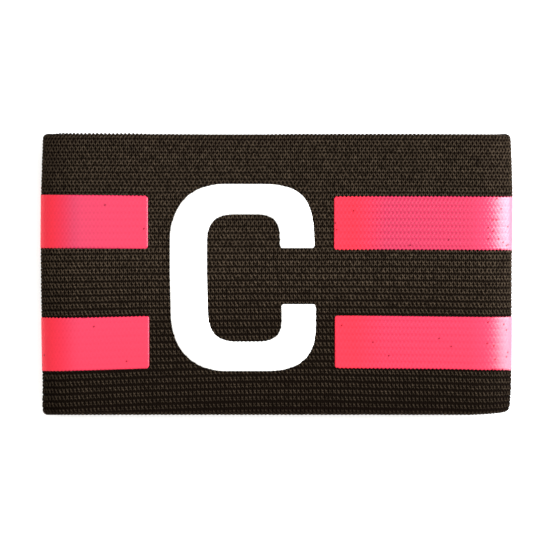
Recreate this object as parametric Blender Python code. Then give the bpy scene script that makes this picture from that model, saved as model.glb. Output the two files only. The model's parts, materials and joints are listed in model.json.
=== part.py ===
"""A captain's armband lying flat: a closed loop of wide ribbed elastic with a raised print.

Units are metres. X runs along the band from fold to fold, Y across its ribs and Z up.
The origin is on the surface that the band rests on, under the middle of the band.
"""

import math
from collections import namedtuple

import bmesh
import bpy

MM = 0.001

# The elastic, one strip whose two ends are lapped and sewn under the loop
BAND_WIDTH = 75.0 * MM
FLAT_LENGTH = 125.9 * MM
WALL = 1.6 * MM
FOLD_REACH = 11.0 * MM
FOLD_INNER_RADIUS = 0.9 * MM
TOP_SAG = 0.9 * MM
EDGE_LAND = 0.4 * MM
CORNER_DRAW = 1.5 * MM
LAP_LENGTH = 12.0 * MM
LAP_RISE = 4.0 * MM
LAP_CUT = 0.3 * MM

# Ribs of the outer face, which run round the loop
RIB_PITCH = 1.8 * MM
GROOVE_WIDTH = 0.7 * MM
GROOVE_DEPTH = 0.25 * MM

# The print, films of flexible ink that lie on the ribs
PRINT_GAP = 0.3 * MM
PRINT_THICKNESS = 0.3 * MM
LETTER_SHIFT = -9.1 * MM
LETTER_RAISE = -0.8 * MM
LETTER_WIDTH = 39.4 * MM
LETTER_HEIGHT = 50.3 * MM
LETTER_STEM = 10.1 * MM
LETTER_ARM = 8.2 * MM
LETTER_TERMINAL = 9.5 * MM
LETTER_MOUTH = 14.9 * MM
STEM_RADIUS = 13.4 * MM
SHOULDER_RADIUS = 11.2 * MM
STEM_INNER_RADIUS = 5.6 * MM
SHOULDER_INNER_RADIUS = 4.3 * MM
TERMINAL_RADIUS = 0.5 * MM
BAR_HEIGHT = 14.4 * MM
BAR_SPACE = 17.6 * MM
BAR_DROP = 1.4 * MM
BAR_CLEARANCE = 5.5 * MM
BAR_RADIUS = 0.6 * MM
BAR_WRAP_ANGLE = -54.0

# How finely the curves are cut
FOLD_STEPS = 10
TOP_SPANS = 8
EDGE_STEPS = 2
CORNER_STEPS = 6
SMALL_CORNER_STEPS = 2
FILM_ROWS = 4
SHARP_ANGLE = 35.0

# Linear colours
ELASTIC_BLACK = (0.030, 0.022, 0.015)
INK_WHITE = (0.90, 0.89, 0.86)
INK_PINK = (0.95, 0.055, 0.120)

# How far the folds draw in across the width, as shares of CORNER_DRAW.
# across: share of the width, counted from the edge under the letter's foot.
FoldDraw = namedtuple("FoldDraw", "across left right")
FOLD_DRAW = (
    FoldDraw(across=0.000, left=0.95, right=1.60),
    FoldDraw(across=0.008, left=0.45, right=1.00),
    FoldDraw(across=0.030, left=0.32, right=0.45),
    FoldDraw(across=0.100, left=0.32, right=0.30),
    FoldDraw(across=0.300, left=0.12, right=0.20),
    FoldDraw(across=0.500, left=0.00, right=0.12),
    FoldDraw(across=0.600, left=0.00, right=0.04),
    FoldDraw(across=0.800, left=0.10, right=0.00),
    FoldDraw(across=0.930, left=0.22, right=0.20),
    FoldDraw(across=0.985, left=0.35, right=0.38),
    FoldDraw(across=0.995, left=0.55, right=0.70),
    FoldDraw(across=1.000, left=1.00, right=1.20),
)

# One place along the loop, seen along Y: a point of the outer face with its outward normal,
# the point of the inner face behind it, how much of the rib relief it takes,
# and how far into a fold it lies, from -1 at the left tip to 1 at the right tip.
Station = namedtuple("Station", "x z inner_x inner_z normal_x normal_z ribbed fold")

# A fold is half an ellipse, whose height follows from how tightly its tip can bend.
FOLD_START = FLAT_LENGTH / 2 - FOLD_REACH
HALF_HEIGHT = math.sqrt((WALL + FOLD_INNER_RADIUS) * FOLD_REACH)
EDGE_ROUND = (WALL - EDGE_LAND) / 2


def blended(table, column, across):
    """The value of one column of a table of sections at a share of the band's width."""
    for below, above in zip(table, table[1:]):
        if across <= above.across:
            share = (across - below.across) / (above.across - below.across)
            low = getattr(below, column)
            return low + share * (getattr(above, column) - low)
    return getattr(table[-1], column)


def fold_station(side, angle):
    """A place on a fold: side is -1 or 1, and angle runs from -90 under it to 90 on top."""
    turn = math.radians(angle)
    spread = math.hypot(FOLD_REACH * math.cos(turn), HALF_HEIGHT * math.sin(turn))
    x = side * (FOLD_START + FOLD_REACH**2 * math.cos(turn) / spread)
    z = HALF_HEIGHT + HALF_HEIGHT**2 * math.sin(turn) / spread
    normal_x = side * math.cos(turn)
    normal_z = math.sin(turn)
    inner_x = x - WALL * normal_x
    inner_z = z - WALL * normal_z
    return Station(x, z, inner_x, inner_z, normal_x, normal_z, 1.0, normal_x)


def top_station(x):
    """A place on the upper layer, which settles slightly between the two folds."""
    phase = math.pi * x / FOLD_START
    slope = TOP_SAG / 2 * math.sin(phase) * math.pi / FOLD_START
    z = 2 * HALF_HEIGHT - TOP_SAG / 2 * (1 + math.cos(phase))
    length = math.hypot(slope, 1.0)
    normal_x = -slope / length
    normal_z = 1.0 / length
    inner_x = x - WALL * normal_x
    inner_z = z - WALL * normal_z
    return Station(x, z, inner_x, inner_z, normal_x, normal_z, 1.0, 0.0)


def lap_stations():
    """The sewn lap under the loop, from right to left, opposite the letter.

    The strip's left end lies on the ground and is cut off square. Its right end
    climbs onto it over LAP_RISE and is cut off square inside the loop.
    """
    cut_outside = -LETTER_SHIFT + LAP_LENGTH / 2
    cut_inside = -LETTER_SHIFT - LAP_LENGTH / 2
    bend = WALL * math.tan(math.atan2(WALL, LAP_RISE) / 2)
    foot = cut_outside + LAP_RISE
    two_walls = 2 * WALL
    return [
        Station(foot, 0.0, foot + bend, WALL, 0.0, -1.0, 1.0, 0.0),
        Station(cut_outside, WALL, cut_outside + bend, two_walls, 0.0, -1.0, 0.0, 0.0),
        Station(cut_outside, 0.0, cut_outside, two_walls, 0.0, -1.0, 1.0, 0.0),
        Station(cut_inside, 0.0, cut_inside, two_walls, 0.0, -1.0, 1.0, 0.0),
        Station(cut_inside - LAP_CUT, 0.0, cut_inside, WALL, 0.0, -1.0, 1.0, 0.0),
    ]


def printed_stations():
    """The places that a print can reach, from under the left fold over the top to the right."""
    angles = [-90 + 180 * step / FOLD_STEPS for step in range(FOLD_STEPS + 1)]
    left = [fold_station(-1, angle) for angle in angles]
    right = [fold_station(1, angle) for angle in reversed(angles)]
    shares = [-1 + 2 * span / TOP_SPANS for span in range(1, TOP_SPANS)]
    return left + [top_station(share * FOLD_START) for share in shares] + right


def skin_distances(stations):
    """How far each place lies along the outer face from the middle of the upper layer."""
    distances = [0.0]
    for here, there in zip(stations, stations[1:]):
        distances.append(distances[-1] + math.hypot(there.x - here.x, there.z - here.z))
    middle = distances[-1] / 2
    return [distance - middle for distance in distances]


def drawn_in(station, y):
    """How far a fold is drawn towards the middle at this place across the band."""
    across = y / BAND_WIDTH + 0.5
    column = "right" if station.fold > 0 else "left"
    return -station.fold * CORNER_DRAW * blended(FOLD_DRAW, column, across)


def outer_point(station, y, inset):
    """A point of the outer face, set into the wall by inset."""
    x = station.x - station.normal_x * inset + drawn_in(station, y)
    return (x, y, station.z - station.normal_z * inset)


def inner_point(station, y, inset):
    """A point of the inner face, set into the wall by inset."""
    x = station.inner_x + station.normal_x * inset + drawn_in(station, y)
    return (x, y, station.inner_z + station.normal_z * inset)


def edge_rows():
    """The rounded lower edge of the band as (distance from the edge, inset) pairs."""
    rows = []
    for step in range(EDGE_STEPS + 1):
        turn = math.pi / 2 * step / EDGE_STEPS
        rows.append((EDGE_ROUND * (1 - math.cos(turn)), EDGE_ROUND * (1 - math.sin(turn))))
    return rows


def rows_across():
    """The rows of the two faces across the band, as lists of (y, edge inset, groove depth)."""
    half = BAND_WIDTH / 2
    lower = [(-half + distance, inset, 0.0) for distance, inset in edge_rows()]
    upper = [(-y, inset, 0.0) for y, inset, _ in reversed(lower)]
    rib_count = round(BAND_WIDTH / RIB_PITCH)
    ribs = []
    for groove in range(1, rib_count):
        middle = -half + BAND_WIDTH * groove / rib_count
        ribs.append((middle - GROOVE_WIDTH / 2, 0.0, 0.0))
        ribs.append((middle, 0.0, GROOVE_DEPTH))
        ribs.append((middle + GROOVE_WIDTH / 2, 0.0, 0.0))
    return lower + ribs + upper, lower + upper


def join_rings(mesh, first, second):
    """Fills the strip between two rings of the same number of corners."""
    for corner, (a, b) in enumerate(zip(first, second)):
        mesh.faces.new((first[corner - 1], a, b, second[corner - 1]))


def make_object(name, mesh, material):
    """Turns a bmesh into a named object, with its faces pointing out."""
    bmesh.ops.recalc_face_normals(mesh, faces=mesh.faces)
    data = bpy.data.meshes.new(name)
    mesh.to_mesh(data)
    mesh.free()
    data.materials.append(material)
    thing = bpy.data.objects.new(name, data)
    bpy.context.scene.collection.objects.link(thing)
    return thing


def make_band(material):
    """The elastic: ribbed outside, plain inside, with round edges and one sewn lap."""
    around = printed_stations() + lap_stations()
    outer_rows, inner_rows = rows_across()
    mesh = bmesh.new()
    outer = []
    for y, inset, groove in outer_rows:
        ring = [outer_point(place, y, inset + groove * place.ribbed) for place in around]
        outer.append([mesh.verts.new(point) for point in ring])
    inner = []
    for y, inset, _ in inner_rows:
        ring = [inner_point(place, y, inset) for place in around]
        inner.append([mesh.verts.new(point) for point in ring])
    for rings in (outer, inner):
        for first, second in zip(rings, rings[1:]):
            join_rings(mesh, first, second)
    join_rings(mesh, outer[0], inner[0])
    join_rings(mesh, outer[-1], inner[-1])
    band = make_object("elastic_band", mesh, material)
    band.data.shade_smooth()
    band.data.set_sharp_from_angle(angle=math.radians(SHARP_ANGLE))
    return band


def rounded_outline(corners):
    """An outline with its corners rounded: corners are (x, y, radius, steps), in order."""
    outline = []
    for index, (x, y, radius, steps) in enumerate(corners):
        before = corners[index - 1]
        after = corners[(index + 1) % len(corners)]
        in_angle = math.atan2(y - before[1], x - before[0])
        out_angle = math.atan2(after[1] - y, after[0] - x)
        turn = math.remainder(out_angle - in_angle, math.tau)
        side = math.copysign(1.0, turn)
        cut = radius * math.tan(abs(turn) / 2)
        start_x = x - cut * math.cos(in_angle)
        start_y = y - cut * math.sin(in_angle)
        centre_x = start_x - side * radius * math.sin(in_angle)
        centre_y = start_y + side * radius * math.cos(in_angle)
        for step in range(steps + 1):
            heading = in_angle + turn * step / steps
            point_x = centre_x + side * radius * math.sin(heading)
            point_y = centre_y - side * radius * math.cos(heading)
            outline.append((point_x, point_y))
    return outline


def letter_outline():
    """The captain's C: a round-cornered stem and two arms that end in square terminals."""
    left = LETTER_SHIFT - LETTER_WIDTH / 2
    right = LETTER_SHIFT + LETTER_WIDTH / 2
    top = LETTER_RAISE + LETTER_HEIGHT / 2
    bottom = LETTER_RAISE - LETTER_HEIGHT / 2
    stem = left + LETTER_STEM
    terminal = right - LETTER_TERMINAL
    mouth_top = LETTER_RAISE + LETTER_MOUTH / 2
    mouth_bottom = LETTER_RAISE - LETTER_MOUTH / 2
    return rounded_outline(
        [
            (left, bottom, STEM_RADIUS, CORNER_STEPS),
            (right, bottom, SHOULDER_RADIUS, CORNER_STEPS),
            (right, mouth_bottom, TERMINAL_RADIUS, SMALL_CORNER_STEPS),
            (terminal, mouth_bottom, TERMINAL_RADIUS, SMALL_CORNER_STEPS),
            (terminal, bottom + LETTER_ARM, SHOULDER_INNER_RADIUS, CORNER_STEPS),
            (stem, bottom + LETTER_ARM, STEM_INNER_RADIUS, CORNER_STEPS),
            (stem, top - LETTER_ARM, STEM_INNER_RADIUS, CORNER_STEPS),
            (terminal, top - LETTER_ARM, SHOULDER_INNER_RADIUS, CORNER_STEPS),
            (terminal, mouth_top, TERMINAL_RADIUS, SMALL_CORNER_STEPS),
            (right, mouth_top, TERMINAL_RADIUS, SMALL_CORNER_STEPS),
            (right, top, SHOULDER_RADIUS, CORNER_STEPS),
            (left, top, STEM_RADIUS, CORNER_STEPS),
        ]
    )


def bar_outline(inner_end, outer_end, bottom):
    """A bar from beside the letter to its end under a fold."""
    left = min(inner_end, outer_end)
    right = max(inner_end, outer_end)
    top = bottom + BAR_HEIGHT
    return rounded_outline(
        [
            (left, bottom, BAR_RADIUS, SMALL_CORNER_STEPS),
            (right, bottom, BAR_RADIUS, SMALL_CORNER_STEPS),
            (right, top, BAR_RADIUS, SMALL_CORNER_STEPS),
            (left, top, BAR_RADIUS, SMALL_CORNER_STEPS),
        ]
    )


def cut_flat(mesh, point, normal):
    """Cuts every face of a flat mesh along a line, so that it can bend there."""
    everything = mesh.verts[:] + mesh.edges[:] + mesh.faces[:]
    bmesh.ops.bisect_plane(mesh, geom=everything, plane_co=point, plane_no=normal)


def lifted_point(stations, distances, flat, lift):
    """A point lift above the rib tops, at a flat point (distance along the skin, y)."""
    index = 1
    while index < len(distances) - 1 and distances[index] < flat.x:
        index += 1
    before = stations[index - 1]
    after = stations[index]
    share = (flat.x - distances[index - 1]) / (distances[index] - distances[index - 1])
    low = outer_point(before, flat.y, -lift)
    high = outer_point(after, flat.y, -lift)
    return [a + share * (b - a) for a, b in zip(low, high)]


def make_film(name, outline, material):
    """A film of ink with this flat outline, bent to lie over the ribs of the outer face."""
    stations = printed_stations()
    distances = skin_distances(stations)
    mesh = bmesh.new()
    mesh.faces.new([mesh.verts.new((x, y, 0.0)) for x, y in outline])
    low = min(y for _, y in outline)
    high = max(y for _, y in outline)
    for distance in distances[1:-1]:
        cut_flat(mesh, (distance, 0.0, 0.0), (1.0, 0.0, 0.0))
    for row in range(1, FILM_ROWS):
        cut_flat(mesh, (0.0, low + (high - low) * row / FILM_ROWS, 0.0), (0.0, 1.0, 0.0))
    raised = bmesh.ops.extrude_face_region(mesh, geom=mesh.faces[:])["geom"]
    upper = {corner for corner in raised if isinstance(corner, bmesh.types.BMVert)}
    for corner in mesh.verts:
        lift = PRINT_GAP + (PRINT_THICKNESS if corner in upper else 0.0)
        corner.co = lifted_point(stations, distances, corner.co, lift)
    return make_object(name, mesh, material)


def make_bars(material):
    """Two bars on each side of the letter, each running round its fold to under the band."""
    stations = printed_stations()
    distances = skin_distances(stations)
    wrap = (BAR_WRAP_ANGLE + 90) / 180 * FOLD_STEPS
    step = min(int(wrap), FOLD_STEPS - 1)
    gap = distances[step + 1] - distances[step]
    wrap_end = -(distances[step] + (wrap - step) * gap)
    middle = LETTER_RAISE - BAR_DROP
    levels = {
        "upper": middle + BAR_SPACE / 2,
        "lower": middle - BAR_SPACE / 2 - BAR_HEIGHT,
    }
    reach = LETTER_WIDTH / 2 + BAR_CLEARANCE
    sides = {
        "left": (LETTER_SHIFT - reach, -wrap_end),
        "right": (LETTER_SHIFT + reach, wrap_end),
    }
    for side, (inner_end, outer_end) in sides.items():
        for level, bottom in levels.items():
            outline = bar_outline(inner_end, outer_end, bottom)
            make_film(f"bar_{side}_{level}", outline, material)


def make_material(name, colour, roughness):
    """A plain material: colour is linear, and nothing here is metal."""
    material = bpy.data.materials.new(name)
    material.use_nodes = True
    shader = material.node_tree.nodes["Principled BSDF"]
    shader.inputs["Base Color"].default_value = (*colour, 1.0)
    shader.inputs["Roughness"].default_value = roughness
    shader.inputs["Metallic"].default_value = 0.0
    material.diffuse_color = (*colour, 1.0)
    return material


def main():
    for thing in list(bpy.data.objects):
        bpy.data.objects.remove(thing, do_unlink=True)
    make_band(make_material("black_elastic", ELASTIC_BLACK, 0.85))
    make_film("letter_c", letter_outline(), make_material("white_ink", INK_WHITE, 0.45))
    make_bars(make_material("pink_ink", INK_PINK, 0.35))


main()
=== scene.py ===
# %% [markdown]
# # A captain's armband, stitch by stitch
# The real thing is one strip of wide knitted elastic, folded flat and sewn into a loop, with
# a white letter and pink bars screen printed on its face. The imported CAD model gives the
# sizes. Here every surface gets its real make: yarn legs for the knit, a film of ink for the
# print and thread for the seam.

# %% Load the frame
import json
import math

import bpy
import numpy as np
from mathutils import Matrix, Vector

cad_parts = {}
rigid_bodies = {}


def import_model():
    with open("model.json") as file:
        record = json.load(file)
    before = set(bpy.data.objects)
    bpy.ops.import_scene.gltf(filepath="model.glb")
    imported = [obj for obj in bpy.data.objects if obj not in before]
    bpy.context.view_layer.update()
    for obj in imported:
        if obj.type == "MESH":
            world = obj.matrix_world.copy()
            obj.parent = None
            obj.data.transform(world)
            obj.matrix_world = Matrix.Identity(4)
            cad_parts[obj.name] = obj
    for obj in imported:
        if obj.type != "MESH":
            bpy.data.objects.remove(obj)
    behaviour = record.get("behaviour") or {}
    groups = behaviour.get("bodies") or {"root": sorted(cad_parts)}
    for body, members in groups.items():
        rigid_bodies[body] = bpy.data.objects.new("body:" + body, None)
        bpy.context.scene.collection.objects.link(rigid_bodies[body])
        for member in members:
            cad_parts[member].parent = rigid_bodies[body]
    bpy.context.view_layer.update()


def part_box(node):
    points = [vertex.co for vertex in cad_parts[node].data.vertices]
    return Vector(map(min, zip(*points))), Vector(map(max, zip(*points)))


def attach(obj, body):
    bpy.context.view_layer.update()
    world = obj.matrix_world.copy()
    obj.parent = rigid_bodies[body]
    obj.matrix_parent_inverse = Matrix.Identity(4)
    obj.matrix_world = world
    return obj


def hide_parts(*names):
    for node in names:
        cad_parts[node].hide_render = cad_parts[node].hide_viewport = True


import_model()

# %% [markdown]
# ## The shape that the strip follows
# The outer face of the strip is one line seen from the side: flat on the table, round a tight
# fold, back over the top with a slight sag, and round the other fold. It could be a Blender
# curve, but everything here, yarn and ink alike, has to bend with it. So the line is a table of
# points with their distance along the strip, and one function bends flat places onto it.

# %% Sizes, from the frame and from the elastic
MM = 0.001
# Of the frame's numbers only the band's box is needed. All other sizes are set or follow.
band_low, band_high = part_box("elastic_band")
WIDTH = band_high.y - band_low.y
HALF_LENGTH = (band_high.x - band_low.x) / 2
HALF_HEIGHT = (band_high.z - band_low.z) / 2
WALL = 1.6 * MM
# How far the folds reach in from their tips, and how deep the top sags between them.
FOLD_REACH = 11.0 * MM
TOP_SAG = 0.9 * MM
FOLD_START = HALF_LENGTH - FOLD_REACH
# Where the letter's middle lies along x, seen from the band's. The sewn lap lies half a loop
# away from it, on the underside, and the strip climbs onto its other end over LAP_RISE.
LETTER_SHIFT = -9.1 * MM
LAP_LENGTH = 12.0 * MM
LAP_RISE = 4.0 * MM
print("flat band in mm:", round(2 * HALF_LENGTH / MM, 1), "by", round(WIDTH / MM, 1))

# %% How the folds and corners draw in
# The lower right corner is also pulled up by CORNER_LIFT, which fades out over CORNER_SHARE of
# the width from the lower edge.
CORNER_DRAW = 1.5 * MM
CORNER_LIFT = 0.95 * MM
CORNER_SHARE = 0.10
# How far each fold draws in across the width, as shares of CORNER_DRAW:
# (share of the width from the lower edge, left fold, right fold).
FOLD_DRAW = np.array([
    (0.000, 0.62, 0.62),
    (0.008, 0.27, 0.36),
    (0.030, 0.18, 0.16),
    (0.100, 0.22, -0.02),
    (0.300, 0.07, -0.10),
    (0.500, -0.08, -0.12),
    (0.600, -0.10, -0.15),
    (0.800, -0.03, -0.26),
    (0.930, 0.19, -0.05),
    (0.985, 0.30, 0.07),
    (0.995, 0.40, 0.22),
    (1.000, 0.72, 0.66),
])


def table_at(table, places, column=1):
    """One column of a table of numbers, at places between those in its first column."""
    return np.interp(places, table[:, 0], table[:, column])


draw_at_corner = CORNER_DRAW * table_at(FOLD_DRAW, 1.0, column=2)
print("the upper right corner draws in by", round(draw_at_corner / MM, 2), "mm")

# %% The line round the loop
PATH_STEP = 0.1 * MM
FOLD_ANGLES = np.linspace(90.0, -90.0, 361)


def half_loop(side, stop):
    """Points (x, z) of the outer face from the middle of the top, round one fold, to x = stop,
    and the numbers of the points where the fold starts and ends."""
    top = np.arange(0.0, FOLD_START, PATH_STEP)
    sag = TOP_SAG / 2 * (1 + np.cos(np.pi * top / FOLD_START))
    turn = np.radians(FOLD_ANGLES)
    spread = np.hypot(FOLD_REACH * np.cos(turn), HALF_HEIGHT * np.sin(turn))
    fold_x = FOLD_START + FOLD_REACH**2 * np.cos(turn) / spread
    fold_z = HALF_HEIGHT + HALF_HEIGHT**2 * np.sin(turn) / spread
    under = np.arange(FOLD_START, side * stop, -PATH_STEP)[1:]
    climb = np.zeros_like(under)
    if side > 0:
        foot = -LETTER_SHIFT + LAP_LENGTH / 2 + LAP_RISE
        share = np.clip((foot - under) / LAP_RISE, 0.0, 1.0)
        climb = WALL * share * share * (3 - 2 * share)
    x = np.concatenate([top, fold_x, under])
    z = np.concatenate([2 * HALF_HEIGHT - sag, fold_z, climb])
    return side * x, z, len(top), len(top) + len(turn) - 1


left_x, left_z, _, _ = half_loop(-1, -LETTER_SHIFT + LAP_LENGTH / 2)
right_x, right_z, fold_first, fold_last = half_loop(1, -LETTER_SHIFT - LAP_LENGTH / 2)
line_x = np.concatenate([left_x[::-1], right_x[1:]])
line_z = np.concatenate([left_z[::-1], right_z[1:]])
line_s = np.concatenate([[0.0], np.cumsum(np.hypot(np.diff(line_x), np.diff(line_z)))])
middle = len(left_x) - 1
line_s -= line_s[middle]
slope_x, slope_z = np.gradient(line_x, line_s), np.gradient(line_z, line_s)
slope = np.hypot(slope_x, slope_z)
line_nx, line_nz = -slope_z / slope, slope_x / slope
STRIP_START, STRIP_END = line_s[0], line_s[-1]
FOLD_FROM, FOLD_TO = line_s[middle + fold_first], line_s[middle + fold_last]


def fold_distance(angle):
    """How far along the strip a fold reaches this angle, 90 on top and -90 underneath."""
    return float(np.interp(-angle, -FOLD_ANGLES, line_s[middle + fold_first:middle + fold_last + 1]))


# %% [markdown]
# ## From flat to bent
# Knitting and printing are easiest to lay out on a flat strip, as they are in the factory. A
# Curve modifier could bend the flat pieces, but it can't roll the edges or draw in the corners.
# This function does all three, so every piece below is laid out flat and then passed through it.

# %% Bend flat places onto the loop
EDGE_RADIUS = WALL / 2
FLAT_EDGE = WIDTH / 2 - EDGE_RADIUS


def on_band(s, y, lift):
    """The point of the loop at distance s along the strip, y across it and lift above its face.
    Beyond FLAT_EDGE, y runs on round the selvedge towards the inner face. At the right fold
    the lower edge is pulled up by CORNER_LIFT, which leaves that corner blunt."""
    s, y, lift = np.broadcast_arrays(s, y, lift)
    turn = np.clip((np.abs(y) - FLAT_EDGE) / EDGE_RADIUS, 0.0, np.pi)
    past = np.maximum(0.0, np.abs(y) - FLAT_EDGE - np.pi * EDGE_RADIUS)
    radius = EDGE_RADIUS + lift
    rolled = np.sign(y) * (FLAT_EDGE + radius * np.sin(turn) - past)
    y = np.where(turn > 0, rolled, y)
    lift = np.where(turn > 0, radius * np.cos(turn) - EDGE_RADIUS, lift)
    nx, nz = np.interp(s, line_s, line_nx), np.interp(s, line_s, line_nz)
    across = y / WIDTH + 0.5
    y = y + CORNER_LIFT * np.maximum(0.0, nx) * np.clip(1 - across / CORNER_SHARE, 0.0, 1.0)
    left, right = table_at(FOLD_DRAW, across), table_at(FOLD_DRAW, across, column=2)
    draw = -nx * CORNER_DRAW * np.where(nx > 0, right, left)
    x = np.interp(s, line_s, line_x) + nx * lift + draw
    z = np.interp(s, line_s, line_z) + nz * lift
    return np.stack([x, y, z], axis=-1)


fold_tip = on_band((FOLD_FROM + FOLD_TO) / 2, 0.0, 0.0)
print("middle of the right fold in mm:", (fold_tip / MM).round(1).tolist())


# %% [markdown]
# ## How the ribs wander
# Elastic is stretched unevenly while it is folded and printed. Its ribs run lower towards the
# folds in the lower half, and the last ones slip round the edge. The table says by how much.

# %% Wander of the ribs
# Millimetres towards the upper edge. Rows: y across the band in mm. Columns: distance along it
# in mm. Past the folds it fades out over about WANDER_FADE.
WANDER_FADE = 12 * MM
WANDER_X = np.array([-58.0, -47.0, -36.0, -20.0, -4.0, 12.0, 28.0, 44.0, 55.0])
WANDER_Y = np.array([-34.0, -30.0, -12.0, 6.5, 28.0, 34.0])
WANDER = np.array([
    (-1.87, -1.34, -0.86, -0.37, 0.00, 0.00, -0.29, -0.45, -0.78),
    (-1.71, -1.31, -0.86, -0.45, -0.16, -0.08, -0.35, -0.56, -0.88),
    (-0.80, -0.54, -0.21, -0.05, 0.08, 0.10, 0.00, -0.21, -0.37),
    (-0.04, 0.06, 0.12, 0.18, 0.25, 0.26, 0.32, 0.22, 0.12),
    (0.36, 0.36, 0.30, 0.33, 0.32, 0.24, 0.28, 0.27, 0.17),
    (0.37, 0.36, 0.33, 0.18, 0.12, 0.26, 0.20, 0.14, 0.06),
]) * MM


def wander(s, y):
    """How far the ribs at a flat place lie above where even ribs would be."""
    s, y = np.broadcast_arrays(s, y)
    row = np.interp(y / MM, WANDER_Y, np.arange(len(WANDER_Y)))
    low = np.minimum(row.astype(int), len(WANDER_Y) - 2)
    share = row - low
    columns = np.interp(s / MM, WANDER_X, np.arange(len(WANDER_X)))
    left = np.minimum(columns.astype(int), len(WANDER_X) - 2)
    part = columns - left
    lower = WANDER[low, left] * (1 - part) + WANDER[low, left + 1] * part
    upper = WANDER[low + 1, left] * (1 - part) + WANDER[low + 1, left + 1] * part
    faded = np.exp(-(np.maximum(0.0, np.abs(s) - FOLD_TO) / WANDER_FADE)**2)
    return (lower * (1 - share) + upper * share) * faded


def knit_to_flat(s, u):
    """The flat place of a point of the knit, u being its place across even ribs."""
    return u + wander(s, u + wander(s, u))


print("the ribs wander by up to", round(float(np.abs(WANDER).max()) / MM, 2), "mm")

# %% [markdown]
# ## Turning numbers into pieces
# Tens of thousands of yarn legs are far too many for one operator each. They are worked out as
# arrays and handed to Blender in one go, which is quick and gives plain joined meshes.

# %% Make a mesh from arrays
def make_piece(name, points, faces, material, marks=None):
    """A smooth mesh object: faces is a list of arrays of corner numbers, one row for each face.
    marks are named numbers, one for each point, which a material can read."""
    mesh = bpy.data.meshes.new(name)
    points = np.ascontiguousarray(points, dtype=np.float32).reshape(-1, 3)
    mesh.vertices.add(len(points))
    mesh.vertices.foreach_set("co", points.ravel())
    corners = np.concatenate([block.ravel() for block in faces]).astype(np.int32)
    sizes = np.concatenate([np.full(len(block), block.shape[1]) for block in faces])
    starts = np.concatenate([[0], np.cumsum(sizes)[:-1]]).astype(np.int32)
    mesh.loops.add(len(corners))
    mesh.loops.foreach_set("vertex_index", corners)
    mesh.polygons.add(len(sizes))
    mesh.polygons.foreach_set("loop_start", starts)
    for mark, values in (marks or {}).items():
        attribute = mesh.attributes.new(mark, "FLOAT", "POINT")
        attribute.data.foreach_set("value", np.ascontiguousarray(values, np.float32).ravel())
    mesh.update(calc_edges=True)
    mesh.validate()
    mesh.shade_smooth()
    mesh.materials.append(material)
    piece = bpy.data.objects.new(name, mesh)
    bpy.context.scene.collection.objects.link(piece)
    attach(piece, "root")
    triangles = int((sizes - 2).sum())
    print(f"{name}: {len(points)} points, {triangles} triangles")
    return piece


# %% [markdown]
# ## Colours and shader nodes
# Colours are written as they look on a screen, as sRGB hex, and one function turns them into the
# linear numbers that Blender's sockets take. A second helper adds any kind of node with its
# settings and links in one line, so that a material reads from top to bottom.

# %% Colours and nodes
def linear(hex_colour):
    """An sRGB hex colour as the linear RGBA that Blender's sockets take."""
    parts = [int(hex_colour[i:i + 2], 16) / 255 for i in (1, 3, 5)]
    lit = [c / 12.92 if c <= 0.04045 else ((c + 0.055) / 1.055)**2.4 for c in parts]
    return (*lit, 1.0)


def start_material(name):
    """A new material with its node tree and its Principled shader."""
    material = bpy.data.materials.new(name)
    material.use_nodes = True
    tree = material.node_tree
    return material, tree, tree.nodes["Principled BSDF"]


def add_node(tree, kind, settings=None, **inputs):
    """One node: settings are its own, inputs are values or the sockets that feed them."""
    node = tree.nodes.new(kind)
    for name, value in (settings or {}).items():
        setattr(node, name, value)
    for name, value in inputs.items():
        socket = node.inputs[int(name[1:])] if name[0] == "i" and name[1:].isdigit() \
            else node.inputs[name.replace("_", " ")]
        if isinstance(value, bpy.types.NodeSocket):
            tree.links.new(value, socket)
        else:
            socket.default_value = value
    return node


print("mid grey #808080 in linear light:", round(linear("#808080")[0], 3))

# %% [markdown]
# ## The yarn
# Wide elastic is knitted from textured polyester yarn over rubber cores. The yarn is dyed black
# but is really a very dark brown, matt. Its colour is painted light: marks on its points paint a
# highlight on the crest of each stitch and shade in the hollows, and the tone mark, which varies
# at random, also carries painted shade.

# %% Textured polyester yarn
# Painted light: the colour of the yarn's lit crests and of its shaded hollows.
YARN_CREST = "#55483a"
YARN_HOLLOW = "#0c0603"
FILAMENT_MM = 0.09


def textured_polyester_yarn(name, roughness):
    """Matt and hairy: a rough surface and no clear highlight. Its colour is painted light, mixed from
    the hollow colour to the crest colour by the crest mark and the lightness of each grain.
    """
    material, tree, shader = start_material(name)
    crest = add_node(tree, "ShaderNodeAttribute", {"attribute_name": "crest"})
    tone_and_shade = add_node(tree, "ShaderNodeAttribute", {"attribute_name": "tone_and_shade"})
    place = add_node(tree, "ShaderNodeTexCoord")
    fuzz = add_node(tree, "ShaderNodeTexNoise", Vector=place.outputs["Object"],
                    Scale=1 / (FILAMENT_MM * MM), Detail=2.0)
    # Painted light: the crest mark times the tone mark picks the colour between shaded hollow and lit
    # crest.
    shade = add_node(tree, "ShaderNodeMath", {"operation": "MULTIPLY"},
                     i0=crest.outputs["Fac"], i1=tone_and_shade.outputs["Fac"])
    colour = add_node(tree, "ShaderNodeMix", {"data_type": "RGBA"}, i0=shade.outputs[0],
                      i6=linear(YARN_HOLLOW), i7=linear(YARN_CREST))
    bump = add_node(tree, "ShaderNodeBump", Strength=0.5, Distance=0.05 * MM,
                    Height=fuzz.outputs["Fac"])
    tree.links.new(colour.outputs[2], shader.inputs["Base Color"])
    tree.links.new(bump.outputs[0], shader.inputs["Normal"])
    shader.inputs["Roughness"].default_value = roughness
    shader.inputs["IOR"].default_value = 1.5
    shader.inputs["Specular IOR Level"].default_value = 0.025
    return material


yarn = textured_polyester_yarn("textured_polyester_yarn", 0.8)
print("made", yarn.name)

# %% [markdown]
# ## Where the print lies
# The letter and the bars are screen printed on the flat strip. Each is planned first as two
# edges on the flat strip, near and far, with the same number of points, so that a grid fits
# between them. The letter is one stroke: its near edge is its outside, its far edge its inside.

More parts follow.
